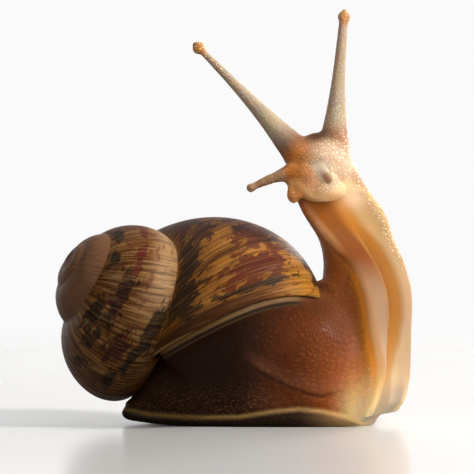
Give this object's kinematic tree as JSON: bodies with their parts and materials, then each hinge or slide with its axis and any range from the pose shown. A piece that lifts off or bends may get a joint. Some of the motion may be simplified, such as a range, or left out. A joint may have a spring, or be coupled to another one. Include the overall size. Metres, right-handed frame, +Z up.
{
  "type": "land snail",
  "caption": "Life-size still model of a garden snail, rearing up from its shell and looking back over it with its feelers out.",
  "frame": {"origin": "on the flat of the sole that rests on the floor, under the middle of the shell and foot", "axes": "+X from the tail to the front, +Y to the snail's left, +Z up from the floor"},
  "size_m": [0.0465, 0.0312, 0.0543],
  "materials": {
    "shell": "thin glossy shell skin with fine growth ribs, ochre with dark brown broken bands",
    "skin": "moist granular skin, grey-brown to orange-brown, paler on the sole",
    "eye": "small glossy black bead"
  },
  "bodies": {
    "root": {"shell": "shell", "mantle_collar": "skin", "tail": "skin", "foot": "skin", "neck_lower": "skin", "neck_upper": "skin", "head": "skin", "labial_palp_left": "skin", "labial_palp_right": "skin", "upper_tentacle_left": "skin", "upper_tentacle_right": "skin", "lower_tentacle_left": "skin", "lower_tentacle_right": "skin", "eye_left": "eye", "eye_right": "eye"}
  },
  "joints": []
}
